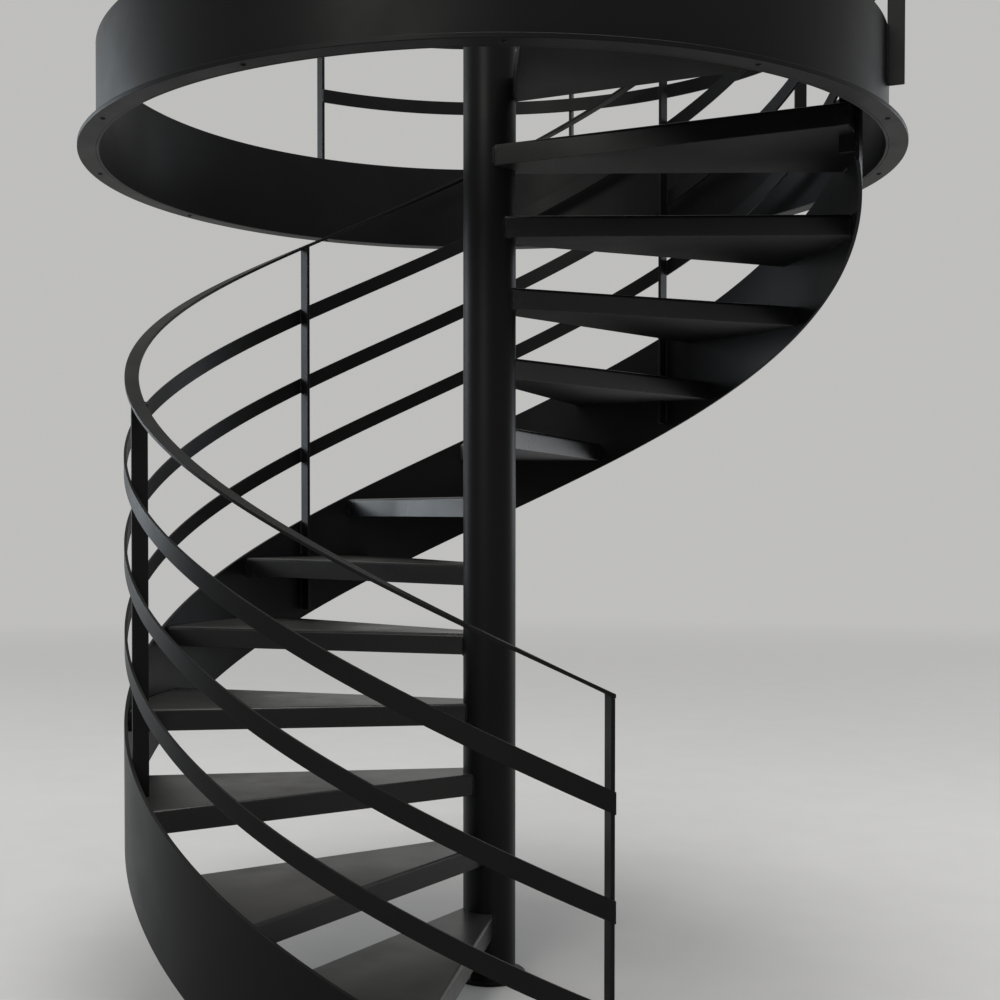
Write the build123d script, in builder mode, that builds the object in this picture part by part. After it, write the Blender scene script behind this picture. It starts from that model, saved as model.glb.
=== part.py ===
"""Steel spiral stair with a centre column, an outer helical stringer and a lined floor opening.

Millimetres, +Z up. The origin is on the lower floor at the column's axis. +Y points to the
back of the stair, and the stair climbs clockwise seen from above: from the front over the
left side and the back to the landing at the front right.

Walk angle: degrees clockwise from the front, so 0 is -Y, 90 is -X, 180 is +Y and 270 is +X.
"""

import os
from math import asin, cos, degrees, hypot, radians, sin

from build123d import *

os.makedirs("parts", exist_ok=True)

# Storeys and steps
floor_to_floor = 2710.0
floor_thickness = 266.0
riser_count = 13
step_angle = 23.6
first_nosing_angle = 10.2
weld_gap = 0.3

# Column
column_diameter = 159.0
column_wall = 5.0
base_plate_diameter = 220.0
base_plate_thickness = 12.0
anchor_edge_distance = 15.0
anchor_hole = 12.0
anchor_count = 4
cap_thickness = 6.0
cap_chamfer = 2.0

# Treads and landing, boxes of folded plate with a thinner sheet below
tread_plate = 6.0
soffit_plate = 3.0
fold_depth = 63.0
nosing_offset = 28.0
tread_overlap = 95.0
landing_edge_inset = 13.0

# Stringer, with its depth measured upright and its rise above the nosings
stringer_radius = 1080.0
stringer_thickness = 10.0
stringer_depth = 354.0
stringer_rise = 11.0

# Guard bars. A post's place is counted in steps from the first nosing
bar_width = 45.0
bar_thickness = 10.0
rail_width = 48.0
rail_thickness = 8.0
rail_count = 3
handrail_width = 40.0
handrail_thickness = 10.0
handrail_height = 993.0
handrail_inset = 5.0
middle_post_steps = (2.45, 5.58, 8.81)
end_post_margin = 0.55
post_foot = 30.0
notch_gap = 0.5

# Floor opening and the guard round it
opening_clearance = 62.0
lining_thickness = 8.0
lining_lip = 17.0
flange_width = 52.0
flange_thickness = 12.0
flange_hole = 9.0
flange_hole_count = 12
well_guard_start = 148.9
well_post_count = 4
well_post_root = 150.0
landing_post_setback = 20.0

# Sizes that follow
riser = floor_to_floor / riser_count
tread_count = riser_count - 1
helix_pitch = riser * 360 / step_angle
column_radius = column_diameter / 2
anchor_radius = base_plate_diameter / 2 - anchor_edge_distance
column_top = floor_to_floor + handrail_height + handrail_thickness + cap_thickness
stringer_inner = stringer_radius - stringer_thickness
tread_radius = stringer_inner - weld_gap
box_depth = fold_depth - tread_plate - soffit_plate
climb_slope = riser / (radians(step_angle) * stringer_inner)
rail_outer = stringer_inner + rail_thickness
rail_upright = rail_width * hypot(1, climb_slope)
rail_pitch = (handrail_height + handrail_thickness) / (rail_count + 1)
rail_heights = [rail_pitch * (index + 1) for index in range(rail_count)]
handrail_outer = stringer_radius - handrail_inset
handrail_inner = handrail_outer - handrail_width
opening_radius = stringer_radius + opening_clearance
landing_radius = opening_radius - weld_gap
lining_outer = opening_radius + lining_thickness
ceiling_height = floor_to_floor - floor_thickness
landing_nosing_angle = first_nosing_angle + tread_count * step_angle
first_post_angle = first_nosing_angle - step_angle - end_post_margin
last_post_angle = landing_nosing_angle - end_post_margin
middle_post_angles = [first_nosing_angle + steps * step_angle for steps in middle_post_steps]
post_angles = [first_post_angle, *middle_post_angles, last_post_angle]
landing_edge = column_radius - landing_edge_inset


def nosing_height(angle):
    """Height of the line through the nosings at a walk angle."""
    return riser * (1 + (angle - first_nosing_angle) / step_angle)


def outward(angle):
    """Horizontal unit vector away from the column at a walk angle."""
    return Vector(-sin(radians(angle)), -cos(radians(angle)), 0)


def uphill(angle):
    """Horizontal unit vector along the climb at a walk angle."""
    return Vector(-cos(radians(angle)), sin(radians(angle)), 0)


def section_plane(angle, radius, height):
    """Upright plane across the climb: local x points outward and local y up."""
    origin = outward(angle) * radius + Vector(0, 0, height)
    return Plane(origin=origin, x_dir=outward(angle), z_dir=uphill(angle))


def climb_plane(angle, radius):
    """Upright plane along the climb: local x points uphill, local y up and z inward."""
    origin = outward(angle) * radius
    return Plane(origin=origin, x_dir=uphill(angle), z_dir=outward(angle) * -1)


def climbing_bar(start, end, inner, outer, low, high):
    """Bar of upright rectangular section that climbs with the nosing line.

    inner and outer are radii. low and high are heights above the nosing line.
    """
    middle = (inner + outer) / 2
    rise = nosing_height(end) - nosing_height(start)
    with BuildPart() as bar:
        with BuildLine(Plane.XY.offset(nosing_height(start))) as path:
            climb = Helix(helix_pitch, rise, middle, lefthand=True, mode=Mode.PRIVATE)
            add(climb.rotate(Axis.Z, -90 - start))
        with BuildSketch(section_plane(start, middle, nosing_height(start))):
            with Locations((0, (low + high) / 2)):
                Rectangle(outer - inner, high - low)
        sweep(path=path.line, is_frenet=True)
    return bar


def level_bar(start, end, inner, outer, low, high):
    """Level bar of upright rectangular section between two walk angles."""
    with BuildPart() as bar:
        with BuildSketch(section_plane(end, inner, low)):
            Rectangle(outer - inner, high - low, align=(Align.MIN, Align.MIN))
        revolve(axis=Axis.Z, revolution_arc=end - start)
    return bar


def nosing_line(angle, shift):
    """Start and direction of a tread's nosing line in plan, moved uphill by shift.

    The line passes the column's axis on the downhill side and meets the stringer at angle.
    """
    heading = angle + degrees(asin(nosing_offset / tread_radius))
    return uphill(heading) * (shift - nosing_offset), outward(heading)


def tread_outline(angle, inset, radius):
    """Plan of a tread: its back edge runs along the next nosing, moved uphill."""
    reach = 2 * radius
    front, front_way = nosing_line(angle, inset)
    back, back_way = nosing_line(angle + step_angle, tread_overlap - inset)
    Polygon(front, front + front_way * reach, back + back_way * reach, back, align=None)
    Circle(radius, mode=Mode.INTERSECT)
    Circle(column_radius + weld_gap, mode=Mode.SUBTRACT)


def landing_outline(inset, radius):
    """Plan of the landing between its nosing, its straight left edge and the opening."""
    reach = 2 * radius
    front, front_way = nosing_line(landing_nosing_angle, inset)
    left = landing_edge + inset
    Polygon(front, front + front_way * reach, (reach, -reach), (left, -reach), (left, 0), align=None)
    Circle(radius, mode=Mode.INTERSECT)
    Circle(column_radius + weld_gap, mode=Mode.SUBTRACT)


def post_notch(angle, top):
    """Slot in a tread that a guard post passes through."""
    centre = outward(angle) * (stringer_inner - bar_width / 2) + Vector(0, 0, top - fold_depth / 2)
    with Locations(Location(tuple(centre), (0, 0, -90 - angle))):
        Box(
            bar_width + 2 * notch_gap,
            bar_thickness + 2 * notch_gap,
            fold_depth,
            mode=Mode.SUBTRACT,
        )


def write(piece, label):
    """Label a finished piece and write it to its own file."""
    piece.part.label = label
    export_step(piece.part, f"parts/{label}.step")


# Base plate with its anchor holes
with BuildPart() as base_plate:
    with BuildSketch():
        Circle(base_plate_diameter / 2)
        with PolarLocations(anchor_radius, anchor_count, start_angle=180 / anchor_count):
            Circle(anchor_hole / 2, mode=Mode.SUBTRACT)
    extrude(amount=base_plate_thickness)
write(base_plate, "base_plate")

# Centre column
with BuildPart() as centre_column:
    with BuildSketch(Plane.XY.offset(base_plate_thickness)):
        Circle(column_radius)
        Circle(column_radius - column_wall, mode=Mode.SUBTRACT)
    extrude(amount=column_top - cap_thickness - base_plate_thickness)
write(centre_column, "centre_column")

# Column cap
with BuildPart() as column_cap:
    with BuildSketch(Plane.XY.offset(column_top - cap_thickness)):
        Circle(column_radius)
    extrude(amount=cap_thickness)
    chamfer(column_cap.edges().group_by(Axis.Z)[-1], length=cap_chamfer)
write(column_cap, "column_cap")

# Treads, each a plate folded down at the nosing, the back and the stringer end, and closed
# below. The column closes the hollow box at its inner end
overlap_angle = degrees(tread_overlap / tread_radius)
for number in range(1, tread_count + 1):
    angle = first_nosing_angle + (number - 1) * step_angle
    top = number * riser
    with BuildPart() as tread:
        with BuildSketch(Plane.XY.offset(top)):
            tread_outline(angle, 0, tread_radius)
        extrude(amount=-fold_depth)
        with BuildSketch(Plane.XY.offset(top - tread_plate)):
            tread_outline(angle, tread_plate, tread_radius - tread_plate)
        extrude(amount=-box_depth, mode=Mode.SUBTRACT)
        for post_angle in post_angles:
            if angle < post_angle < angle + step_angle + overlap_angle:
                post_notch(post_angle, top)
    write(tread, f"tread_{number:02d}")

# Landing, a box like the treads, from the last nosing to a straight edge beside the column
with BuildPart() as landing:
    with BuildSketch(Plane.XY.offset(floor_to_floor)):
        landing_outline(0, landing_radius)
    extrude(amount=-fold_depth)
    with BuildSketch(Plane.XY.offset(floor_to_floor - tread_plate)):
        landing_outline(tread_plate, landing_radius - tread_plate)
    extrude(amount=-box_depth, mode=Mode.SUBTRACT)
write(landing, "landing")

# Outer stringer, a rolled plate that is cut level where it rests on the floor
stringer = climbing_bar(
    first_post_angle,
    landing_nosing_angle - degrees(weld_gap / stringer_inner),
    stringer_inner,
    stringer_radius,
    stringer_rise - stringer_depth,
    stringer_rise,
)
with stringer:
    with Locations((0, 0, -stringer_depth)):
        Box(3 * stringer_radius, 3 * stringer_radius, 2 * stringer_depth, mode=Mode.SUBTRACT)
write(stringer, "stringer")

# Guard posts, flat bars inside the stringer, cut to the handrail's slope at the top
top_slant = climb_slope * bar_thickness / 2
for number, angle in enumerate(post_angles, start=1):
    foot = max(0.0, nosing_height(angle) + stringer_rise - stringer_depth + post_foot)
    top = nosing_height(angle) + handrail_height - weld_gap
    with BuildPart() as stair_post:
        with BuildSketch(climb_plane(angle, stringer_inner - weld_gap)):
            Polygon(
                (-bar_thickness / 2, foot),
                (bar_thickness / 2, foot),
                (bar_thickness / 2, top + top_slant),
                (-bar_thickness / 2, top - top_slant),
                align=None,
            )
        extrude(amount=bar_width)
    write(stair_post, f"stair_post_{number}")

# Climbing rails on edge, fixed to the outer side of the posts. On the slope a rail is taller,
# measured upright, than its own width
post_half_angle = degrees(bar_thickness / 2 / stringer_inner)
for number, height in enumerate(rail_heights, start=1):
    stair_rail = climbing_bar(
        first_post_angle - post_half_angle,
        last_post_angle + post_half_angle,
        stringer_inner,
        rail_outer,
        height - rail_upright / 2,
        height + rail_upright / 2,
    )
    write(stair_rail, f"stair_rail_{number}")

# Handrail, a bar laid flat on the posts
stair_handrail = climbing_bar(
    first_post_angle - post_half_angle,
    last_post_angle + post_half_angle,
    handrail_inner,
    handrail_outer,
    handrail_height,
    handrail_height + handrail_thickness,
)
write(stair_handrail, "stair_handrail")

# Round lining of the floor opening
lining_foot = ceiling_height - flange_thickness
with BuildPart() as opening_lining:
    with BuildSketch(Plane.XY.offset(lining_foot)):
        Circle(lining_outer)
        Circle(opening_radius, mode=Mode.SUBTRACT)
    extrude(amount=floor_to_floor + lining_lip - lining_foot)
write(opening_lining, "opening_lining")

# Flat ring under the ceiling, welded round the lining's foot
with BuildPart() as ceiling_flange:
    with BuildSketch(Plane.XY.offset(lining_foot)):
        Circle(lining_outer + flange_width)
        Circle(lining_outer + weld_gap, mode=Mode.SUBTRACT)
        with PolarLocations(lining_outer + flange_width / 2, flange_hole_count):
            Circle(flange_hole / 2, mode=Mode.SUBTRACT)
    extrude(amount=flange_thickness)
write(ceiling_flange, "ceiling_flange")

# Upper floor guard: posts welded to the outside of the lining
well_post_spacing = (last_post_angle - well_guard_start) / (well_post_count - 1)
well_post_foot = floor_to_floor - well_post_root
for number in range(1, well_post_count + 1):
    angle = well_guard_start + (number - 1) * well_post_spacing
    with BuildPart() as well_post:
        with BuildSketch(section_plane(angle, lining_outer + weld_gap, well_post_foot)):
            Rectangle(
                bar_width,
                well_post_root + handrail_height - weld_gap,
                align=(Align.MIN, Align.MIN),
            )
        extrude(amount=bar_thickness / 2, both=True)
    write(well_post, f"well_post_{number}")

# Level rails in line with the lining, and a handrail on the posts
well_half_angle = degrees(bar_thickness / 2 / lining_outer)
for number, height in enumerate(rail_heights, start=1):
    well_rail = level_bar(
        well_guard_start - well_half_angle,
        last_post_angle + well_half_angle,
        opening_radius,
        lining_outer,
        floor_to_floor + height - rail_width / 2,
        floor_to_floor + height + rail_width / 2,
    )
    write(well_rail, f"well_rail_{number}")

well_handrail = level_bar(
    well_guard_start - well_half_angle,
    last_post_angle + well_half_angle,
    lining_outer + weld_gap,
    lining_outer + weld_gap + handrail_width,
    floor_to_floor + handrail_height,
    floor_to_floor + handrail_height + handrail_thickness,
)
write(well_handrail, "well_handrail")

# Guard on the landing's left edge, from the column to a post beside the opening
edge_length = opening_radius - landing_post_setback
with BuildPart() as landing_post:
    with BuildSketch(Plane.XY.offset(floor_to_floor + weld_gap)):
        with Locations((landing_edge + rail_thickness + weld_gap, -edge_length)):
            Rectangle(bar_thickness, bar_width, align=(Align.MIN, Align.MIN))
    extrude(amount=handrail_height - 2 * weld_gap)
write(landing_post, "landing_post")


def edge_bar(width, height, level):
    """Straight level bar along the landing's left edge, cut to meet the column."""
    with BuildPart() as bar:
        with BuildSketch(Plane.XY.offset(level)):
            with Locations((landing_edge, 0)):
                Rectangle(width, edge_length, align=(Align.MIN, Align.MAX))
            Circle(column_radius + weld_gap, mode=Mode.SUBTRACT)
        extrude(amount=height)
    return bar


for number, height in enumerate(rail_heights, start=1):
    landing_rail = edge_bar(rail_thickness, rail_width, floor_to_floor + height - rail_width / 2)
    write(landing_rail, f"landing_rail_{number}")

landing_handrail = edge_bar(handrail_width, handrail_thickness, floor_to_floor + handrail_height)
write(landing_handrail, "landing_handrail")
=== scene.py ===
from math import asin, ceil, cos, degrees, hypot, pi, radians, sin, sqrt

import bmesh
import bpy
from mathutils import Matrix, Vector


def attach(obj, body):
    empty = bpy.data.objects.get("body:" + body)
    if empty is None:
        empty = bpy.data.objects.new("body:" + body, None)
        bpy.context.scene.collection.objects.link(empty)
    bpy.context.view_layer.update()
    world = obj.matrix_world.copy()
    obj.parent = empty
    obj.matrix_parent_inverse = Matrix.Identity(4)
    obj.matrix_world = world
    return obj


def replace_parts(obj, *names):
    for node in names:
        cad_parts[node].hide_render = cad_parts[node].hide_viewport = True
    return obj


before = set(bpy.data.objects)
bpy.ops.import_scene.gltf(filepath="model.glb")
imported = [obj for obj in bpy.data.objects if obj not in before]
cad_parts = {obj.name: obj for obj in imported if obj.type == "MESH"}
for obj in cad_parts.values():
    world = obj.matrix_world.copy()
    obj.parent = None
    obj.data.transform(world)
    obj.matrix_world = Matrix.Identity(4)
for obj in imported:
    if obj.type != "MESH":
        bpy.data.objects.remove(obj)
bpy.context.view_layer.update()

# Sizes of the stair, in metres and degrees, as in the part's source
RISERS = 13
FLOOR = 2.710
RISER = FLOOR / RISERS
STEP = 23.6
FIRST_NOSING = 10.2
CEILING = 2.444
COLUMN = 0.0795
COLUMN_WALL = 0.005
GAP = 0.0003
BASE_TOP = 0.012
ANCHOR_RADIUS = 0.095
ANCHORS = 4

PLATE = 0.006
FOLD = 0.063
NOSING_OFFSET = 0.028
OVERLAP = 0.095
LANDING_EDGE = 0.0665

STRINGER_IN = 1.070
STRINGER_OUT = 1.080
STRINGER_HIGH = 0.011
STRINGER_DEPTH = 0.354
STRINGER_LOW = STRINGER_HIGH - STRINGER_DEPTH
TREAD_RADIUS = STRINGER_IN - GAP

BAR = (0.045, 0.010)
RAIL = (0.048, 0.008)
HANDRAIL = (0.040, 0.010)
HANDRAIL_HEIGHT = 0.993
RAILS = 3
RAIL_HEIGHTS = [(HANDRAIL_HEIGHT + HANDRAIL[1]) / (RAILS + 1) * n for n in range(1, RAILS + 1)]
SLOPE = RISER / (radians(STEP) * STRINGER_IN)
RAIL_UPRIGHT = RAIL[0] * hypot(1, SLOPE)
HANDRAIL_OUT = 1.075
POST_STEPS = (2.45, 5.58, 8.81)
POST_MARGIN = 0.55
LAST_NOSING = FIRST_NOSING + (RISERS - 1) * STEP
POSTS = [
    FIRST_NOSING - STEP - POST_MARGIN,
    *(FIRST_NOSING + count * STEP for count in POST_STEPS),
    LAST_NOSING - POST_MARGIN,
]
POST_FOOT = 0.030

OPENING = 1.142
LINING = 0.008
LINING_OUT = OPENING + LINING
LINING_LIP = 0.017
LINING_TOP = FLOOR + LINING_LIP
FLANGE = 0.052
FLANGE_THICKNESS = 0.012
LINING_FOOT = CEILING - FLANGE_THICKNESS
FLANGE_SCREWS = 12
WELL_START = 148.9
WELL_BAYS = 3
WELL_POSTS = [
    WELL_START + (POSTS[-1] - WELL_START) * n / WELL_BAYS for n in range(WELL_BAYS + 1)
]
WELL_ROOT = 0.150
LANDING_POST_SETBACK = 0.020
COLUMN_TOP = FLOOR + HANDRAIL_HEIGHT + HANDRAIL[1]

# Sizes of the finish: ends and edges of bars and tube, bends of folded plate, the seam of the
# sheet below, the gap round a post in its slot, and how close to a rounding its flats begin
EDGE = 0.0008
ROUND = 0.0012
TUBE_ROUND = 0.0003
BEND = 0.009
SEAM = 0.0005
NOTCH_GAP = 0.0005
SUPPORT = 0.0015

# How finely curves are cut: stations in degrees and metres, sides of the column, parts of an
# arc, and faces of a plate along the radius and across it
STATION_TURN = 1.0
STATION_RISE = 0.25
COLUMN_SIDES = 128
EDGE_ARC, BEND_ARC = 3, 5
PLATE_ROWS, PLATE_COLUMNS = 16, 28

# Angles in degrees past which a face's edge stays sharp, and points closer than this merge
BAR_SHARP, PLATE_SHARP, WELD_SHARP, FASTENER_SHARP = 30, 40, 50, 35
PLATE_MERGE = 0.000001

scene = bpy.context.scene


# Geometry of the climb
def nosing_height(angle):
    """Height of the line through the nosings at a walk angle."""
    return RISER * (1 + (angle - FIRST_NOSING) / STEP)


def nosing_angle(number):
    """Walk angle of the nosing of a tread, or of the landing as the last one."""
    return FIRST_NOSING + (number - 1) * STEP


def post_foot(angle):
    """Height of a climbing guard post's lower end."""
    return max(0.0, nosing_height(angle) + STRINGER_LOW + POST_FOOT)


def polar(angle, radius, height, shift=0.0):
    """Point at a walk angle and radius, moved uphill by shift."""
    t = radians(angle)
    return Vector((
        -sin(t) * radius - cos(t) * shift,
        -cos(t) * radius + sin(t) * shift,
        height,
    ))


def outward(angle):
    """Way out from the axis at a walk angle."""
    return polar(angle, 1.0, 0.0)


def uphill(angle):
    """Level way along the climb at a walk angle."""
    return polar(angle, 0.0, 0.0, 1.0)


def rounded_section(low, high, radius):
    """Loop of points round a rectangle with rounded corners, counter-clockwise.

    A point on each flat, close to the corner, keeps edge wear on the edge.
    """
    (a0, b0), (a1, b1) = low, high
    corners = (
        (a1 - radius, b1 - radius, 0),
        (a0 + radius, b1 - radius, 90),
        (a0 + radius, b0 + radius, 180),
        (a1 - radius, b0 + radius, 270),
    )
    loop = []
    for a, b, start in corners:
        arcs = [radians(start + 90 * k / EDGE_ARC) for k in range(EDGE_ARC + 1)]
        points = [(a + radius * cos(t), b + radius * sin(t)) for t in arcs]
        (p, q), (v, w) = points[0], points[-1]
        first, last = arcs[0], arcs[-1]
        loop.append((p + SUPPORT * sin(first), q - SUPPORT * cos(first)))
        loop += points
        loop.append((v - SUPPORT * sin(last), w + SUPPORT * cos(last)))
    return loop


def inset(section, amount):
    """The section drawn in by amount on each side."""
    a = [p[0] for p in section]
    b = [p[1] for p in section]
    ca, cb = (min(a) + max(a)) / 2, (min(b) + max(b)) / 2
    ha, hb = (max(a) - min(a)) / 2, (max(b) - min(b)) / 2
    return [
        (ca + (p - ca) * (ha - amount) / ha, cb + (q - cb) * (hb - amount) / hb)
        for p, q in section
    ]


# Meshes
def finish_mesh(name, verts, faces, material, slot, sharp, merge=0.0):
    """Makes a piece that rides on the frame from points and faces."""
    mesh = bpy.data.meshes.new(name)
    mesh.from_pydata([tuple(v) for v in verts], [], faces)
    bm = bmesh.new()
    bm.from_mesh(mesh)
    if merge:
        bmesh.ops.remove_doubles(bm, verts=bm.verts, dist=merge)
    bmesh.ops.recalc_face_normals(bm, faces=bm.faces)
    bm.to_mesh(mesh)
    bm.free()
    mesh.shade_smooth()
    mesh.set_sharp_from_angle(angle=radians(sharp))
    mesh.materials.append(material)
    piece = bpy.data.objects.new(name, mesh)
    scene.collection.objects.link(piece)
    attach(piece, "root")
    return piece


def steel_piece(name, part, sharp=BAR_SHARP):
    """Piece in the black paint, from its (points, faces)."""
    return finish_mesh(name, *part, BLACK, "black_steel", sharp)


def plate_piece(name, part):
    """Piece in the coating of the treads, from its (points, faces)."""
    return finish_mesh(name, *part, TREAD, "tread_plate", PLATE_SHARP, PLATE_MERGE)


def rings_to_faces(count, size, closed=False):
    """Quads between rings of points, with end caps unless the run is closed."""
    faces = []
    for i in range(count if closed else count - 1):
        a = i * size
        b = (i + 1) % count * size
        for j in range(size):
            k = (j + 1) % size
            faces.append((a + j, a + k, b + k, b + j))
    if not closed:
        faces.append(tuple(reversed(range(size))))
        faces.append(tuple((count - 1) * size + j for j in range(size)))
    return faces


def swept(section, stations, place, edge=0.0, closed=False):
    """Points and faces of a section carried along stations.

    place(station, a, b) gives a point. edge draws the end rings in, so that the bar's ends
    have a small chamfer.
    """
    verts = []
    small = inset(section, edge) if edge else section
    for i, station in enumerate(stations):
        end = i in (0, len(stations) - 1) and not closed
        verts += [place(station, a, b) for a, b in (small if end else section)]
    return verts, rings_to_faces(len(stations), len(section), closed)


def merged(parts):
    """One list of points and faces out of several."""
    verts, faces = [], []
    for v, f in parts:
        faces += [tuple(i + len(verts) for i in face) for face in f]
        verts += v
    return verts, faces


def steps(start, end, size, edge):
    """Evenly spaced stations from start to end, with two more close to each end."""
    first, last = start + 4 * edge, end - 4 * edge
    count = max(1, ceil((last - first) / size))
    inner = [first + (last - first) * i / count for i in range(count + 1)]
    return [start, start + edge, *inner, end - edge, end]


def climbing_bar(start, end, inner, outer, low, high):
    """Bar that climbs with the nosing line, with eased edges. Its foot is level on the floor."""
    section = rounded_section((inner, low), (outer, high), ROUND)
    turn = degrees(EDGE / inner)

    def place(angle, radius, height):
        level = nosing_height(angle)
        below = max(0.0, -level - low) if height < low + ROUND + 2 * SUPPORT else 0.0
        return polar(angle, radius, level + height + below)

    return swept(section, steps(start, end, STATION_TURN, turn), place, EDGE)


def level_bar(start, end, inner, outer, low, high):
    """Level curved bar with eased edges."""
    section = rounded_section((inner, low), (outer, high), ROUND)
    turn = degrees(EDGE / inner)
    return swept(section, steps(start, end, STATION_TURN, turn), polar, EDGE)


def upright_bar(angle, inner, outer, foot, top, slope=0.0):
    """Flat bar on end, with its width along the radius. slope slants its top along the climb."""
    section = rounded_section((inner, -BAR[1] / 2), (outer, BAR[1] / 2), ROUND)
    heights = steps(foot, top, STATION_RISE, EDGE)

    def place(height, radius, shift):
        share = (height - foot) / (top - foot)
        return polar(angle, radius, height + slope * shift * share, shift)

    return swept(section, heights, place, EDGE)


# Colours, as the shaders take them
PAINT_DARK, PAINT_LIGHT = (0.0022, 0.0023, 0.0026), (0.0042, 0.0043, 0.0046)
PAINT_SPECK = tuple(1.8 * c for c in PAINT_LIGHT)
PAINT_RUBBED = (0.060, 0.061, 0.064)
DUST = (0.13, 0.122, 0.110)
# Grey pair for the faces of a tread that look up: painted light from above, lighter than the
# black folds
PAINTED_LIT_TOP_DARK, PAINTED_LIT_TOP_LIGHT = (0.0200, 0.0200, 0.0196), (0.0310, 0.0304, 0.0292)
TREAD_WALKED = (0.062, 0.060, 0.056)
TREAD_SCRATCHED = (0.10, 0.10, 0.10)
TREAD_RUBBED = (0.080, 0.080, 0.083)
ZINC_BRIGHT, ZINC_STAINED = (0.42, 0.42, 0.41), (0.20, 0.195, 0.185)
FLOOR_DARK, FLOOR_LIGHT = (0.51, 0.507, 0.501), (0.53, 0.527, 0.521)
PALE = (0.52, 0.517, 0.511)

# Sockets of a mix node that mixes colours
MIX_FIRST, MIX_SECOND, MIX_RESULT = 6, 7, 2


# Parts of materials, in the row frame, so that they have one scale on every piece
def new_material(name):
    """A material, its node tree and its shader."""
    material = bpy.data.materials.new(name)
    material.use_nodes = True
    tree = material.node_tree
    return material, tree, tree.nodes["Principled BSDF"]


def noise(tree, scale, detail, roughness, stretch=None):
    """Noise with scale features to the metre, drawn out where stretch gives a scale per axis."""
    place = tree.nodes.new("ShaderNodeTexCoord").outputs["Object"]
    if stretch:
        mapping = tree.nodes.new("ShaderNodeMapping")
        mapping.inputs["Scale"].default_value = stretch
        tree.links.new(place, mapping.inputs["Vector"])
        place = mapping.outputs["Vector"]
    made = tree.nodes.new("ShaderNodeTexNoise")
    for key, value in (("Scale", scale), ("Detail", detail), ("Roughness", roughness)):
        made.inputs[key].default_value = value
    tree.links.new(place, made.inputs["Vector"])
    return made.outputs["Fac"]


def remap(tree, value, span, to=(0.0, 1.0)):
    """Value moved from one span of numbers to another, and held within it."""
    made = tree.nodes.new("ShaderNodeMapRange")
    made.clamp = True
    for key, number in zip(("From Min", "From Max", "To Min", "To Max"), (*span, *to)):
        made.inputs[key].default_value = number
    tree.links.new(value, made.inputs["Value"])
    return made.outputs["Result"]


def combined(tree, operation, a, b):
    """Sum or product of a socket with a number or another socket."""
    made = tree.nodes.new("ShaderNodeMath")
    made.operation = operation
    tree.links.new(a, made.inputs[0])
    if isinstance(b, float):
        made.inputs[1].default_value = b
    else:
        tree.links.new(b, made.inputs[1])
    return made.outputs["Value"]


def times(tree, a, b):
    return combined(tree, "MULTIPLY", a, b)


def plus(tree, a, b):
    return combined(tree, "ADD", a, b)


def blended(tree, share, first, second):
    """Mix of two colours, each a tuple or a socket."""
    made = tree.nodes.new("ShaderNodeMix")
    made.data_type = "RGBA"
    tree.links.new(share, made.inputs["Factor"])
    for number, value in ((MIX_FIRST, first), (MIX_SECOND, second)):
        if isinstance(value, tuple):
            made.inputs[number].default_value = (*value, 1.0)
        else:
            tree.links.new(value, made.inputs[number])
    return made.outputs[MIX_RESULT]


def bumped(tree, shader, layers):
    """Bump from a list of (height socket, depth in metres)."""
    normal = None
    for height, depth in layers:
        bump = tree.nodes.new("ShaderNodeBump")
        bump.inputs["Distance"].default_value = depth
        bump.inputs["Strength"].default_value = 1.0
        tree.links.new(height, bump.inputs["Height"])
        if normal:
            tree.links.new(normal, bump.inputs["Normal"])
        normal = bump.outputs["Normal"]
    tree.links.new(normal, shader.inputs["Normal"])


def facing(tree, way):
    """1 on level faces that look up, or down where way is -1, and 0 on the rest."""
    geometry = tree.nodes.new("ShaderNodeNewGeometry")
    split = tree.nodes.new("ShaderNodeSeparateXYZ")
    tree.links.new(geometry.outputs["Normal"], split.inputs[0])
    return remap(tree, split.outputs["Z"], (0.6 * way, 0.95 * way))


def axis_distance(tree):
    """Distance from the column's axis."""
    flat = tree.nodes.new("ShaderNodeVectorMath")
    flat.operation = "MULTIPLY"
    flat.inputs[1].default_value = (1.0, 1.0, 0.0)
    tree.links.new(tree.nodes.new("ShaderNodeTexCoord").outputs["Object"], flat.inputs[0])
    length = tree.nodes.new("ShaderNodeVectorMath")
    length.operation = "LENGTH"
    tree.links.new(flat.outputs[0], length.inputs[0])
    return length.outputs["Value"]


def walking_line(tree):
    """1 where people walk, 0 close to the column and to the stringer."""
    radius = axis_distance(tree)
    past_column = remap(tree, radius, (0.32, 0.62))
    short_of_stringer = remap(tree, radius, (0.74, 1.00), (1.0, 0.0))
    return times(tree, past_column, short_of_stringer)


def worn_edges(tree, span):
    """1 on the crests of edges, broken up by noise. span holds the crests' pointiness."""
    geometry = tree.nodes.new("ShaderNodeNewGeometry")
    crest = remap(tree, geometry.outputs["Pointiness"], span)
    broken = remap(tree, noise(tree, scale=60.0, detail=4.0, roughness=0.7), (0.48, 0.62))
    return times(tree, crest, broken)


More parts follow.
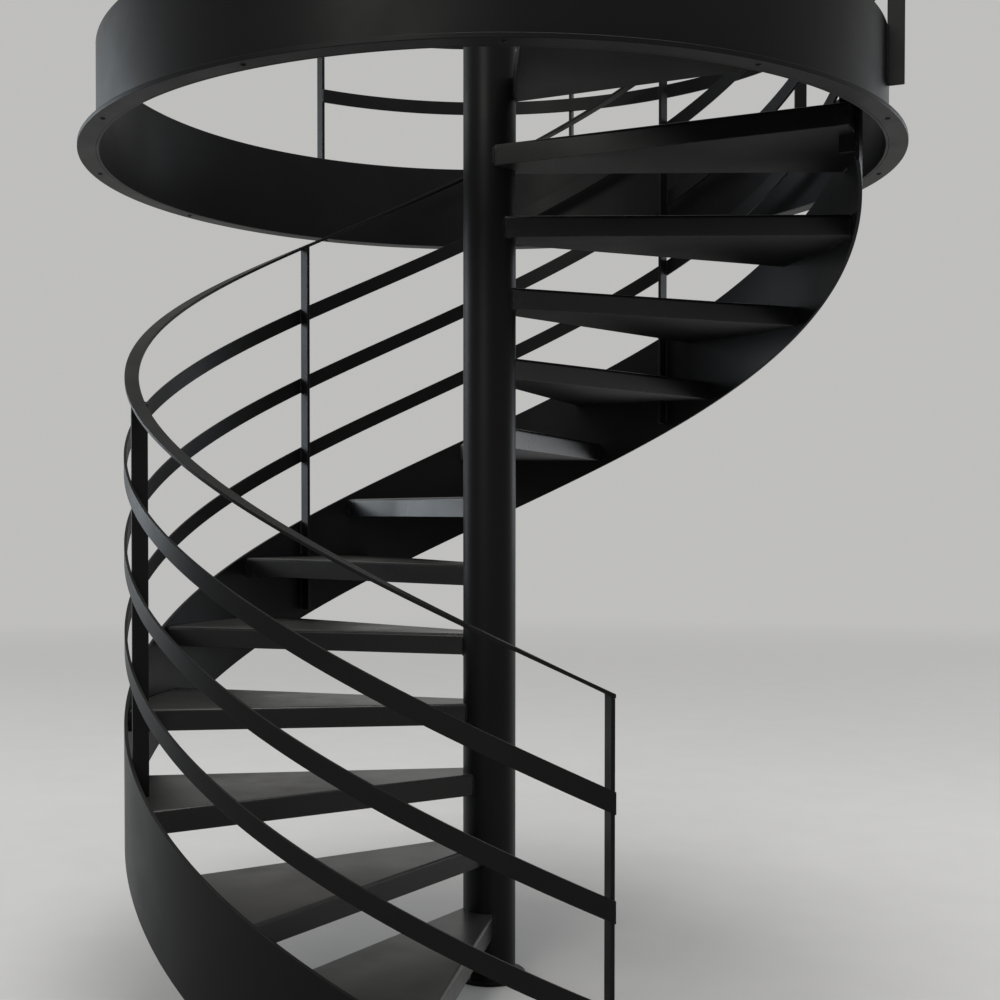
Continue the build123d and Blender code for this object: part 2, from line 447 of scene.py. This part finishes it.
# Materials
def black_paint(name, wear):
    """Satin powder coat: fine texture, slow drift of tone and gloss, dust and rubbed edges."""
    material, tree, shader = new_material(name)
    drift = remap(tree, noise(tree, scale=1.7, detail=4.0, roughness=0.55), (0.34, 0.66))
    colour = blended(tree, drift, PAINT_DARK, PAINT_LIGHT)
    specks = noise(tree, scale=620.0, detail=2.0, roughness=0.6)
    colour = blended(tree, remap(tree, specks, (0.62, 0.74), (0.0, 0.30)), colour, PAINT_SPECK)
    clouds = noise(tree, scale=9.0, detail=5.0, roughness=0.6)
    settled = times(tree, facing(tree, 1), remap(tree, clouds, (0.40, 0.72), (0.35, 1.0)))
    settled = times(tree, settled, 0.06)
    colour = blended(tree, settled, colour, DUST)
    if wear:
        rubbed = times(tree, worn_edges(tree, (0.52, 0.62)), wear)
        colour = blended(tree, rubbed, colour, PAINT_RUBBED)
    tree.links.new(colour, shader.inputs["Base Color"])
    smear = noise(tree, scale=5.0, detail=4.0, roughness=0.6)
    gloss = remap(tree, smear, (0.32, 0.70), (0.38, 0.47))
    gloss = plus(tree, gloss, times(tree, settled, 0.5))
    tree.links.new(gloss, shader.inputs["Roughness"])
    shader.inputs["Specular IOR Level"].default_value = 0.12
    bumped(tree, shader, [
        (noise(tree, scale=3.0, detail=2.0, roughness=0.4), 0.0004),
        (noise(tree, scale=520.0, detail=2.0, roughness=0.5), 0.00002),
    ])
    return material


def tread_steel():
    """Black folds and a dull underside below a top in a lighter grey, which is painted light from
    above; walked on and scratched.
    """
    material, tree, shader = new_material("tread_steel")
    up = facing(tree, 1)
    drift = remap(tree, noise(tree, scale=2.6, detail=5.0, roughness=0.58), (0.34, 0.68))
    side = blended(tree, drift, PAINT_DARK, PAINT_LIGHT)
    # Faces that look up take the lighter grey pair: painted light from above on the tread tops
    top = blended(tree, drift, PAINTED_LIT_TOP_DARK, PAINTED_LIT_TOP_LIGHT)
    colour = blended(tree, up, side, top)

    walked = times(tree, walking_line(tree), up)
    scuffs = noise(tree, scale=13.0, detail=5.0, roughness=0.62)
    scuffs = remap(tree, scuffs, (0.42, 0.72), (0.0, 0.7))
    scuffs = plus(tree, scuffs, remap(tree, drift, (0.0, 1.0), (0.1, 0.3)))
    dulled = times(tree, walked, scuffs)
    colour = blended(tree, times(tree, dulled, 0.30), colour, TREAD_WALKED)

    lines = noise(tree, scale=22.0, detail=8.0, roughness=0.8, stretch=(0.5, 9.0, 1.0))
    lines = times(tree, remap(tree, lines, (0.68, 0.76)), up)
    colour = blended(tree, times(tree, lines, 0.14), colour, TREAD_SCRATCHED)
    rubbed = times(tree, worn_edges(tree, (0.51, 0.58)), 0.35)
    colour = blended(tree, rubbed, colour, TREAD_RUBBED)
    tree.links.new(colour, shader.inputs["Base Color"])

    smear = noise(tree, scale=4.0, detail=4.0, roughness=0.55)
    gloss = remap(tree, smear, (0.32, 0.70), (0.26, 0.34))
    gloss = plus(tree, gloss, times(tree, facing(tree, -1), 0.26))
    gloss = plus(tree, gloss, times(tree, dulled, 0.10))
    tree.links.new(gloss, shader.inputs["Roughness"])
    shader.inputs["Specular IOR Level"].default_value = 0.28
    bumped(tree, shader, [
        (noise(tree, scale=2.5, detail=2.0, roughness=0.4), 0.0008),
        (noise(tree, scale=420.0, detail=2.0, roughness=0.5), 0.00002),
    ])
    return material


def zinc_plate():
    """Dull zinc plate on the anchors, with dark stains."""
    material, tree, shader = new_material("zinc_plate")
    stain = remap(tree, noise(tree, scale=160.0, detail=5.0, roughness=0.65), (0.40, 0.70))
    colour = blended(tree, stain, ZINC_BRIGHT, ZINC_STAINED)
    tree.links.new(colour, shader.inputs["Base Color"])
    shader.inputs["Metallic"].default_value = 1.0
    tree.links.new(remap(tree, stain, (0.0, 1.0), (0.34, 0.52)), shader.inputs["Roughness"])
    bumped(tree, shader, [(noise(tree, scale=900.0, detail=3.0, roughness=0.5), 0.00001)])
    return material


def pale_floor():
    """Pale floor that fades into the background far from the stair."""
    material, tree, shader = new_material("pale_floor")
    grain = remap(tree, noise(tree, scale=4.0, detail=4.0, roughness=0.5), (0.3, 0.7))
    colour = blended(tree, grain, FLOOR_DARK, FLOOR_LIGHT)
    tree.links.new(colour, shader.inputs["Base Color"])
    shader.inputs["Roughness"].default_value = 0.6
    glow = tree.nodes.new("ShaderNodeEmission")
    glow.inputs["Color"].default_value = (*PALE, 1.0)
    mix = tree.nodes.new("ShaderNodeMixShader")
    tree.links.new(remap(tree, axis_distance(tree), (3.0, 14.0)), mix.inputs[0])
    tree.links.new(shader.outputs[0], mix.inputs[1])
    tree.links.new(glow.outputs[0], mix.inputs[2])
    tree.links.new(mix.outputs[0], tree.nodes["Material Output"].inputs["Surface"])
    return material


BLACK = black_paint("black_steel", wear=0.35)
BLACK_PLAIN = black_paint("black_steel_fittings", wear=0.0)
TREAD = tread_steel()
ZINC = zinc_plate()

# Climbing rails, handrail and stringer
first_post, last_post = POSTS[0], POSTS[-1]
half_post = degrees(BAR[1] / 2 / STRINGER_IN)
for number, height in enumerate(RAIL_HEIGHTS, start=1):
    bar = climbing_bar(
        first_post - half_post, last_post + half_post,
        STRINGER_IN, STRINGER_IN + RAIL[1],
        height - RAIL_UPRIGHT / 2, height + RAIL_UPRIGHT / 2,
    )
    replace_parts(steel_piece(f"rail_{number}", bar), f"stair_rail_{number}")

bar = climbing_bar(
    first_post - half_post, last_post + half_post,
    HANDRAIL_OUT - HANDRAIL[0], HANDRAIL_OUT,
    HANDRAIL_HEIGHT, HANDRAIL_HEIGHT + HANDRAIL[1],
)
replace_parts(steel_piece("handrail", bar), "stair_handrail")

bar = climbing_bar(
    first_post, LAST_NOSING - degrees(GAP / STRINGER_IN),
    STRINGER_IN, STRINGER_OUT, STRINGER_LOW, STRINGER_HIGH,
)
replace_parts(steel_piece("outer_stringer", bar), "stringer")

# Posts of the climbing guard
for number, angle in enumerate(POSTS, start=1):
    head = nosing_height(angle) + HANDRAIL_HEIGHT - GAP
    inner, outer = STRINGER_IN - GAP - BAR[0], STRINGER_IN - GAP
    bar = upright_bar(angle, inner, outer, post_foot(angle), head, SLOPE)
    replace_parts(steel_piece(f"guard_post_{number}", bar), f"stair_post_{number}")

# Guard on the upper floor
half_well = degrees(BAR[1] / 2 / LINING_OUT)
for number, angle in enumerate(WELL_POSTS, start=1):
    bar = upright_bar(
        angle, LINING_OUT + GAP, LINING_OUT + GAP + BAR[0],
        FLOOR - WELL_ROOT, FLOOR + HANDRAIL_HEIGHT - GAP,
    )
    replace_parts(steel_piece(f"upper_post_{number}", bar), f"well_post_{number}")
for number, height in enumerate(RAIL_HEIGHTS, start=1):
    bar = level_bar(
        WELL_START - half_well, last_post + half_well, OPENING, LINING_OUT,
        FLOOR + height - RAIL[0] / 2, FLOOR + height + RAIL[0] / 2,
    )
    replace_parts(steel_piece(f"upper_rail_{number}", bar), f"well_rail_{number}")
bar = level_bar(
    WELL_START - half_well, last_post + half_well,
    LINING_OUT + GAP, LINING_OUT + GAP + HANDRAIL[0],
    FLOOR + HANDRAIL_HEIGHT, FLOOR + HANDRAIL_HEIGHT + HANDRAIL[1],
)
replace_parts(steel_piece("upper_handrail", bar), "well_handrail")

# Lining of the floor opening, and the flat ring round its foot
turns = list(range(360))
section = rounded_section((OPENING, LINING_FOOT), (LINING_OUT, LINING_TOP), ROUND)
bar = swept(section, turns, polar, closed=True)
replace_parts(steel_piece("round_lining", bar), "opening_lining")
section = rounded_section((LINING_OUT + GAP, LINING_FOOT), (LINING_OUT + FLANGE, CEILING), ROUND)
bar = swept(section, turns, polar, closed=True)
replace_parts(steel_piece("ceiling_ring", bar), "ceiling_flange")

# Centre column
section = rounded_section((COLUMN - COLUMN_WALL, BASE_TOP), (COLUMN, COLUMN_TOP), TUBE_ROUND)
turns = [360 * k / COLUMN_SIDES for k in range(COLUMN_SIDES)]
bar = swept(section, turns, polar, closed=True)
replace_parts(steel_piece("column_tube", bar), "centre_column")


# Treads and landing, boxes of folded plate with rounded bends and a sheet let in below
def spread(count):
    """Shares from 0 to 1, evenly spaced but for one more close to each end."""
    near = 0.004
    return [0.0, near, *(k / count for k in range(1, count)), 1.0 - near, 1.0]


ROWS, COLUMNS = spread(PLATE_ROWS), spread(PLATE_COLUMNS)


def fold_profile():
    """(inward, height) points from the top over the bend, down the fold and over the seam."""
    turns = [pi / 2 * k / BEND_ARC for k in range(BEND_ARC + 1)]
    near = 2 * SUPPORT
    return [
        (BEND + near, 0.0),
        *((BEND - BEND * sin(t), BEND * cos(t) - BEND) for t in turns),
        (0.0, -BEND - near),
        (0.0, EDGE + near - FOLD),
        (0.0, EDGE - FOLD),
        (EDGE, -FOLD),
        (2 * EDGE, -FOLD),
        (PLATE - SEAM, -FOLD),
        (PLATE, 2 * SEAM - FOLD),
        (PLATE + SEAM, -FOLD),
        (PLATE + near, -FOLD),
    ]


def box_plate(top, radius, front, back):
    """Points and faces of a box folded down along both straight edges and the outer arc.

    front(inward, r) and back(inward, r) give the walk angles, in degrees, of the two straight
    edges at radius r, drawn in by inward.
    """
    verts, faces = [], []
    inner = COLUMN + GAP

    def add(angle, r, z):
        verts.append(polar(angle, r, top + z))
        return len(verts) - 1

    def path(inward, z):
        reach = radius - inward
        radii = [inner + (reach - inner) * share for share in ROWS]
        first, last = front(inward, reach), back(inward, reach)
        run = [add(front(inward, r), r, z) for r in radii]
        run += [add(first + (last - first) * share, reach, z) for share in COLUMNS[1:-1]]
        run += [add(back(inward, r), r, z) for r in reversed(radii)]
        return run

    profile = fold_profile()
    runs = [path(inward, z) for inward, z in profile]
    for a, b in zip(runs, runs[1:]):
        for i in range(len(a) - 1):
            faces.append((a[i], a[i + 1], b[i + 1], b[i]))
    faces.append(tuple(run[0] for run in runs))
    faces.append(tuple(run[-1] for run in reversed(runs)))

    def sheet(inward, z, flip):
        reach = radius - inward
        rows = []
        for row in ROWS:
            r = inner + (reach - inner) * row
            first, last = front(inward, r), back(inward, r)
            rows.append([add(first + (last - first) * share, r, z) for share in COLUMNS])
        for a, b in zip(rows, rows[1:]):
            for m in range(len(COLUMNS) - 1):
                quad = (a[m], a[m + 1], b[m + 1], b[m])
                faces.append(quad[::-1] if flip else quad)
        return rows[0]

    upper = sheet(*profile[0], False)
    lower = sheet(*profile[-1], True)
    for m in range(len(COLUMNS) - 1):
        faces.append((upper[m], lower[m], lower[m + 1], upper[m + 1]))
    return verts, faces


def nosing_heading(angle):
    """Walk angle of the line from the axis that runs beside the nosing at angle."""
    return angle + degrees(asin(NOSING_OFFSET / TREAD_RADIUS))


def nosing_edge(angle, shift, way):
    """Edge beside the nosing at angle, as a function that gives its walk angle at a radius.

    shift moves the edge from the line through the axis. way is 1 or -1, for the side that
    is inward.
    """
    heading = nosing_heading(angle)

    def edge(inward, r):
        return heading + degrees(asin((shift + way * inward) / r))

    return edge


def landing_left(inward, r):
    """Walk angle of the landing's left edge at a radius, drawn in by inward."""
    return 360 - degrees(asin((LANDING_EDGE + inward) / r))


def plate_edges(number):
    """Front and back edge of a tread, or of the landing as the last one."""
    front = nosing_edge(nosing_angle(number), -NOSING_OFFSET, 1)
    if number == RISERS:
        return front, landing_left
    return front, nosing_edge(nosing_angle(number) + STEP, OVERLAP - NOSING_OFFSET, -1)


NOTCH_SPARE = 0.01


def cut_notch(piece, angle, top):
    """Slot for a post at the stringer end of a tread."""
    width, depth = BAR[1] + 2 * NOTCH_GAP, BAR[0] + 2 * NOTCH_GAP
    inner, outer = STRINGER_IN - depth, STRINGER_IN + NOTCH_SPARE
    corners = ((inner, -width / 2), (outer, -width / 2), (outer, width / 2), (inner, width / 2))
    heights = (top - FOLD - 2 * NOTCH_SPARE, top + 2 * NOTCH_SPARE)
    verts = [polar(angle, r, z, shift) for z in heights for r, shift in corners]
    mesh = bpy.data.meshes.new("cutter")
    mesh.from_pydata([tuple(v) for v in verts], [], rings_to_faces(len(heights), len(corners)))
    cutter = bpy.data.objects.new("cutter", mesh)
    scene.collection.objects.link(cutter)
    cut = piece.modifiers.new("notch", "BOOLEAN")
    cut.object = cutter
    cut.solver = "EXACT"
    bpy.context.view_layer.update()
    graph = bpy.context.evaluated_depsgraph_get()
    done = bpy.data.meshes.new_from_object(piece.evaluated_get(graph))
    piece.modifiers.clear()
    piece.data = done
    bpy.data.objects.remove(cutter)


for number in range(1, RISERS):
    angle, top = nosing_angle(number), number * RISER
    plate = box_plate(top, TREAD_RADIUS, *plate_edges(number))
    piece = plate_piece(f"step_{number:02d}", plate)
    for post in POSTS:
        if angle < post < angle + STEP:
            cut_notch(piece, post, top)
    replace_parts(piece, f"tread_{number:02d}")

plate = box_plate(FLOOR, OPENING - GAP, *plate_edges(RISERS))
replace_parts(plate_piece("landing_plate", plate), "landing")

# Welds, a small ridged fillet in the corner of two surfaces. FILLET is a bead's section, as
# shares of its leg along each surface, and STITCH the length of a short bead in degrees
LEG, SMALL_LEG, BASE_LEG = 0.004, 0.003, 0.006
FILLET = ((1.0, -0.1), (0.84, 0.32), (0.62, 0.62), (0.32, 0.84), (-0.1, 1.0), (-0.3, -0.3))
BEAD_STEP = 0.003
BEAD_END = 0.6
MARGIN = 0.004
HEAD_MARGIN = 0.002
STITCH = 2.6
TREAD_STITCHES = (0.06, 0.36, 0.66, 0.95)
LANDING_STITCHES = (299.0, 313.0, 327.0, 341.0, 353.0)

# How a bead swells, as shares: ridges on every other ring, and waves of (share, turn, start)
RIDGE = 0.05
WAVES = ((0.05, 1.7, 0.0), (0.04, 0.6, 1.0))

UP = Vector((0, 0, 1))
LEFT, RIGHT = Vector((-1, 0, 0)), Vector((1, 0, 0))
AWAY, BACK = Vector((0, -1, 0)), Vector((0, 1, 0))


def bead_through(corners, leg):
    """Bead through corners, each a point and the ways along the two surfaces."""
    verts = []
    last = len(corners) - 1
    for k, (point, first, second) in enumerate(corners):
        swell = 1 + RIDGE * (-1) ** k
        swell += sum(share * sin(turn * k + start) for share, turn, start in WAVES)
        size = leg * swell * (BEAD_END if k in (0, last) else 1.0)
        verts += [point + first * (size * a) + second * (size * b) for a, b in FILLET]
    return verts, rings_to_faces(len(corners), len(FILLET))


def bead(start, end, first, second, leg=LEG):
    """Straight bead between two points. first and second are ways along the two surfaces."""
    start, end = Vector(start), Vector(end)
    count = max(2, ceil((end - start).length / BEAD_STEP))
    points = [start.lerp(end, k / count) for k in range(count + 1)]
    return bead_through([(point, first, second) for point in points], leg)


def upright_bead(angle, radius, shift, low, high, first, second, leg=LEG):
    """Bead straight up at a walk angle."""
    start, end = polar(angle, radius, low, shift), polar(angle, radius, high, shift)
    return bead(start, end, first, second, leg)


def ring_bead(radius, start, end, height, side, second, leg=LEG):
    """Bead along an arc, outside it where side is 1 and inside it where side is -1."""
    count = max(2, ceil(radians(end - start) * radius / BEAD_STEP))
    corners = []
    for k in range(count + 1):
        angle = start + (end - start) * k / count
        corners.append((polar(angle, radius, height), outward(angle) * side, second))
    return bead_through(corners, leg)


def stitch(radius, middle, height):
    """Short bead below a plate, inside the curved one that it meets."""
    return ring_bead(radius, middle - STITCH / 2, middle + STITCH / 2, height, -1, -UP)


def crossed_tread(angle):
    """Top of the tread that a post at this angle passes through, or None."""
    number = int((angle - FIRST_NOSING) // STEP) + 1
    return number * RISER if 0 < number < RISERS else None


# Welds on the stringer: along its posts, and in stitches below the treads
beads = []
for angle in POSTS:
    foot = post_foot(angle)
    head = nosing_height(angle) + STRINGER_HIGH - MARGIN
    top = crossed_tread(angle)
    spans = [(foot + MARGIN, head)]
    if top:
        spans = [(foot + MARGIN, top - FOLD - MARGIN), (top + MARGIN, head)]
    for side in (-1, 1):
        way = uphill(angle) * side
        shift = side * BAR[1] / 2
        for low, high in spans:
            if high - low > 2 * MARGIN:
                beads.append(upright_bead(
                    angle, STRINGER_IN, shift, low, high, way, -outward(angle),
                ))
for number in range(1, RISERS):
    front, back = plate_edges(number)
    first, last = front(0.0, TREAD_RADIUS), back(0.0, TREAD_RADIUS)
    for share in TREAD_STITCHES:
        middle = first + (last - first) * share
        if all(abs(middle - post) > STITCH for post in POSTS):
            beads.append(stitch(STRINGER_IN, middle, number * RISER - FOLD))
steel_piece("stringer_welds", merged(beads), WELD_SHARP)

# Welds on the column: round its foot, and round each tread and the landing
beads = [ring_bead(COLUMN, 0, 360, BASE_TOP, 1, UP, BASE_LEG)]
for number in range(1, RISERS + 1):
    angle, top = nosing_angle(number), number * RISER
    front, back = plate_edges(number)
    first, last = front(0.0, COLUMN), back(0.0, COLUMN)
    first_way = outward(nosing_heading(angle))
    last_way = outward(nosing_heading(angle + STEP)) if number < RISERS else AWAY
    beads.append(ring_bead(COLUMN, first, last, top - FOLD, 1, -UP))
    for place, way, turn in ((first, first_way, -1), (last, last_way, 1)):
        beads.append(upright_bead(
            place, COLUMN, 0.0, top - FOLD + MARGIN, top - BEND, way, uphill(place) * turn,
        ))
steel_piece("column_welds", merged(beads), WELD_SHARP)


def rail_beads(angle, radius, base, width, rail_way, sides):
    """Beads where rails cross a post. rail_way points from the rails to the post."""
    made = []
    for side in sides:
        for height in RAIL_HEIGHTS:
            made.append(upright_bead(
                angle, radius, side * BAR[1] / 2,
                base + height - width / 2 + MARGIN, base + height + width / 2 - MARGIN,
                uphill(angle) * side, rail_way, SMALL_LEG,
            ))
    return made


def head_beads(angle, inner, outer, height, rise, sides):
    """Beads between a post's head and the handrail on it. rise is the handrail's slope."""
    made = []
    for side in sides:
        shift = side * BAR[1] / 2
        way = (uphill(angle) * side + UP * (rise * side)).normalized()
        start = polar(angle, inner + HEAD_MARGIN, height + rise * shift, shift)
        end = polar(angle, outer - HEAD_MARGIN, height + rise * shift, shift)
        made.append(bead(start, end, -UP, way, SMALL_LEG))
    return made


def inner_sides(index, count):
    """Sides of a post that rails run past: the end posts have none on their outer side."""
    return [side for side in (-1, 1) if (index, side) not in ((0, -1), (count - 1, 1))]


# Welds of the climbing guard
beads = []
for index, angle in enumerate(POSTS):
    height = nosing_height(angle)
    sides = inner_sides(index, len(POSTS))
    beads += rail_beads(angle, STRINGER_IN, height, RAIL_UPRIGHT, -outward(angle), sides)
    beads += head_beads(
        angle, STRINGER_IN - GAP - BAR[0], STRINGER_IN - GAP,
        height + HANDRAIL_HEIGHT, SLOPE, sides,
    )
steel_piece("guard_welds", merged(beads), WELD_SHARP)

# Welds of the guard on the upper floor, of the landing in the lining, and of the stringer's head
beads = []
for index, angle in enumerate(WELL_POSTS):
    sides = inner_sides(index, len(WELL_POSTS))
    beads += rail_beads(angle, LINING_OUT, FLOOR, RAIL[0], outward(angle), sides)
    beads += head_beads(
        angle, LINING_OUT, LINING_OUT + HANDRAIL[0], FLOOR + HANDRAIL_HEIGHT, 0.0, sides,
    )
    for side in (-1, 1):
        beads.append(upright_bead(
            angle, LINING_OUT, side * BAR[1] / 2, FLOOR - WELL_ROOT + MARGIN, LINING_TOP - MARGIN,
            uphill(angle) * side, outward(angle),
        ))
for middle in LANDING_STITCHES:
    beads.append(stitch(OPENING, middle, FLOOR - FOLD))
for radius, side in ((STRINGER_IN, -1), (STRINGER_OUT, 1)):
    beads.append(upright_bead(
        LAST_NOSING, radius, 0.0, FLOOR - FOLD + MARGIN, FLOOR - BEND,
        -uphill(LAST_NOSING), outward(LAST_NOSING) * side,
    ))
steel_piece("upper_guard_welds", merged(beads), WELD_SHARP)

# Welds of the guard on the landing's left edge, round the foot of its post first
x0, y0 = LANDING_EDGE + RAIL[1] + GAP, -(OPENING - LANDING_POST_SETBACK)
x1, y1 = x0 + BAR[1], y0 + BAR[0]
y_near = y0 + HEAD_MARGIN
beads = [
    bead((x0, y0, FLOOR), (x0, y1, FLOOR), LEFT, UP),
    bead((x1, y0, FLOOR), (x1, y1, FLOOR), RIGHT, UP),
    bead((x0, y0, FLOOR), (x1, y0, FLOOR), AWAY, UP),
    bead((x0, y1, FLOOR), (x1, y1, FLOOR), BACK, UP),
]
column_y = -sqrt(COLUMN ** 2 - LANDING_EDGE ** 2)
along = Vector((column_y, -LANDING_EDGE, 0)).normalized()
for height in RAIL_HEIGHTS:
    low, high = FLOOR + height - RAIL[0] / 2, FLOOR + height + RAIL[0] / 2
    foot, top = (LANDING_EDGE, column_y, low), (LANDING_EDGE, column_y, high)
    beads.append(bead((x0, y_near, high), (x0, y1, high), LEFT, UP, SMALL_LEG))
    beads.append(bead((x0, y_near, low), (x0, y1, low), LEFT, -UP, SMALL_LEG))
    beads.append(bead(foot, top, AWAY, along, SMALL_LEG))
head = FLOOR + HANDRAIL_HEIGHT
for x, way in ((x0, LEFT), (x1, RIGHT)):
    beads.append(bead((x, y_near, head), (x, y1, head), way, -UP, SMALL_LEG))
steel_piece("landing_guard_welds", merged(beads), WELD_SHARP)

# Fasteners, closed (radius, height) loops carried round an upright axis, where studs and screws
# keep a thin bore. The two shares say how far a nut's flat ends reach, as parts of its corners'
# radius
TURNED_SIDES, NUT_SIDES = 24, 36
BORE = 0.0004
WASHER_BORE, WASHER_RADIUS, WASHER_HEIGHT, WASHER_EASE = 0.0053, 0.0100, 0.0020, 0.0004
NUT_FLATS, NUT_HEIGHT, NUT_EASE, NUT_SINK = 0.0170, 0.0080, 0.0010, 0.0008
NUT_FOOT_SHARE, NUT_HEAD_SHARE = 0.90, 0.88
NUT_CORNER = NUT_FLATS / 2 / cos(pi / 6)
HEXAGON_FROM = 0.007
NUT_TURN, NUT_TURN_STEP = 0.4, 1.9
STUD, STUD_SUNK, STUD_SHOWN = 0.0050, 0.001, 0.009
STUD_TIP, STUD_TIP_HEIGHT = 0.0012, 0.0006
THREAD_PITCH, THREAD_DEPTH = 0.0015, 0.0007
SCREW = [
    (0.0002, -0.0012), (0.0024, -0.0012), (0.0028, -0.0026), (0.0050, -0.0026),
    (0.0068, -0.0018), (0.0075, -0.0006), (0.0075, 0.0004), (0.0002, 0.0004),
]


def turned(profile, place, sides=TURNED_SIDES, shape=None, turn=0.0):
    """Closed (radius, height) loop carried round an upright axis. shape scales the radius."""
    verts = []
    for k in range(sides):
        t = 2 * pi * k / sides
        for radius, height in profile:
            r = radius * (shape(t, radius) if shape else 1.0)
            verts.append(place + Vector((r * cos(t + turn), r * sin(t + turn), height)))
    return verts, rings_to_faces(sides, len(profile), closed=True)


def hexagon(t, radius):
    """Scale that turns a circle through a nut's corners into a hexagon, and leaves its bore."""
    part = (t + pi / 6) % (pi / 3) - pi / 6
    return NUT_FLATS / 2 / cos(part) / NUT_CORNER if radius > HEXAGON_FROM else 1.0


def anchor(place, turn):
    """Washer, nut and threaded stud."""
    low, high = WASHER_HEIGHT, WASHER_HEIGHT + NUT_HEIGHT
    washer = [
        (WASHER_BORE, 0),
        (WASHER_RADIUS, 0),
        (WASHER_RADIUS, low - WASHER_EASE),
        (WASHER_RADIUS - WASHER_EASE, low),
        (WASHER_BORE, low),
    ]
    nut = [
        (STUD, low),
        (NUT_CORNER * NUT_FOOT_SHARE, low),
        (NUT_CORNER, low + NUT_EASE),
        (NUT_CORNER, high - NUT_EASE),
        (NUT_CORNER * NUT_HEAD_SHARE, high),
        (STUD + NUT_SINK, high),
        (STUD, high - NUT_SINK),
    ]
    thread, z = [], high - STUD_SUNK
    while z < high + STUD_SHOWN:
        thread += [(STUD, z), (STUD - THREAD_DEPTH, z + THREAD_PITCH / 2)]
        z += THREAD_PITCH
    end = z + STUD_TIP_HEIGHT
    stud = [(BORE, high - STUD_SUNK), *thread, (STUD - STUD_TIP, end), (BORE, end)]
    return [
        turned(washer, place),
        turned(nut, place, NUT_SIDES, hexagon, turn),
        turned(stud, place),
    ]


parts = []
for k in range(ANCHORS):
    t = 2 * pi * (k + 0.5) / ANCHORS
    place = Vector((ANCHOR_RADIUS * cos(t), ANCHOR_RADIUS * sin(t), BASE_TOP))
    parts += anchor(place, NUT_TURN + NUT_TURN_STEP * k)
finish_mesh("floor_anchors", *merged(parts), ZINC, "black_steel", FASTENER_SHARP)

parts = []
for k in range(FLANGE_SCREWS):
    t = 2 * pi * k / FLANGE_SCREWS
    r = LINING_OUT + FLANGE / 2
    parts.append(turned(SCREW, Vector((r * cos(t), r * sin(t), LINING_FOOT))))
steel_piece("ceiling_screws", merged(parts), FASTENER_SHARP)

# CAD nodes that stay: merged points, eased edges and the same paint
CAD_MERGE = 0.00001
EASED_ANGLE = 40
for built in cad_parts.values():
    if built.hide_render:
        continue
    built.data.materials.clear()
    built.data.materials.append(BLACK_PLAIN)
    join = built.modifiers.new("join", "WELD")
    join.merge_threshold = CAD_MERGE
    ease = built.modifiers.new("ease", "BEVEL")
    ease.width = EDGE
    ease.segments = 2
    ease.limit_method = "ANGLE"
    ease.angle_limit = radians(EASED_ANGLE)
    ease.harden_normals = True

# Floor
HALF = 60.0
mesh = bpy.data.meshes.new("studio_floor")
corners = [(-HALF, -HALF, 0), (HALF, -HALF, 0), (HALF, HALF, 0), (-HALF, HALF, 0)]
mesh.from_pydata(corners, [], [(0, 1, 2, 3)])
floor = bpy.data.objects.new("studio_floor", mesh)
scene.collection.objects.link(floor)
mesh.materials.append(pale_floor())

# Background, which lights the stair too
world = bpy.data.worlds.new("studio")
scene.world = world
world.use_nodes = True
world.node_tree.nodes["Background"].inputs["Color"].default_value = (*PALE, 1.0)

# Lamps: name, place, aim, size, power in watts and colour
MIDDLE = (0.0, 0.0, 1.6)
LAMPS = (
    ("window_left", (-8.9, 5.1, 3.1), (0.0, 0.0, 2.0), (4.0, 4.4), 240.0, (0.82, 0.92, 1.0)),
    ("window_right", (8.5, 6.5, 3.0), MIDDLE, (3.5, 3.5), 140.0, (0.86, 0.93, 1.0)),
    ("soft_front", (-4.5, -8.5, 5.5), MIDDLE, (4.0, 4.0), 300.0, (1.0, 0.97, 0.93)),
    ("soft_top", (0.8, -0.8, 9.0), MIDDLE, (5.0, 5.0), 560.0, (1.0, 0.99, 0.97)),
)
for name, spot, aim, size, power, colour in LAMPS:
    light = bpy.data.lights.new(name, "AREA")
    light.shape = "RECTANGLE"
    light.size, light.size_y = size
    light.energy = power
    light.color = colour
    lamp = bpy.data.objects.new(name, light)
    lamp.location = spot
    lamp.rotation_euler = (Vector(aim) - Vector(spot)).to_track_quat("-Z", "Y").to_euler()
    lamp.visible_camera = False
    scene.collection.objects.link(lamp)

# Camera, as the photograph was taken: millimetres, shares of the frame, metres and degrees
SENSOR_WIDTH, LENS = 36.0, 49.71
SHIFT_X, SHIFT_Y = 0.04494, 0.03694
CAMERA_PLACE = (-0.1042, -4.1884, 1.4124)
CAMERA_DIP = 1.04
camera = bpy.data.cameras.new("camera")
camera.sensor_width = SENSOR_WIDTH
camera.lens = LENS
camera.shift_x = SHIFT_X
camera.shift_y = SHIFT_Y
viewer = bpy.data.objects.new("camera", camera)
viewer.location = CAMERA_PLACE
viewer.rotation_euler = (radians(90 - CAMERA_DIP), 0.0, 0.0)
scene.collection.objects.link(viewer)
scene.camera = viewer
scene.view_settings.view_transform = "Standard"
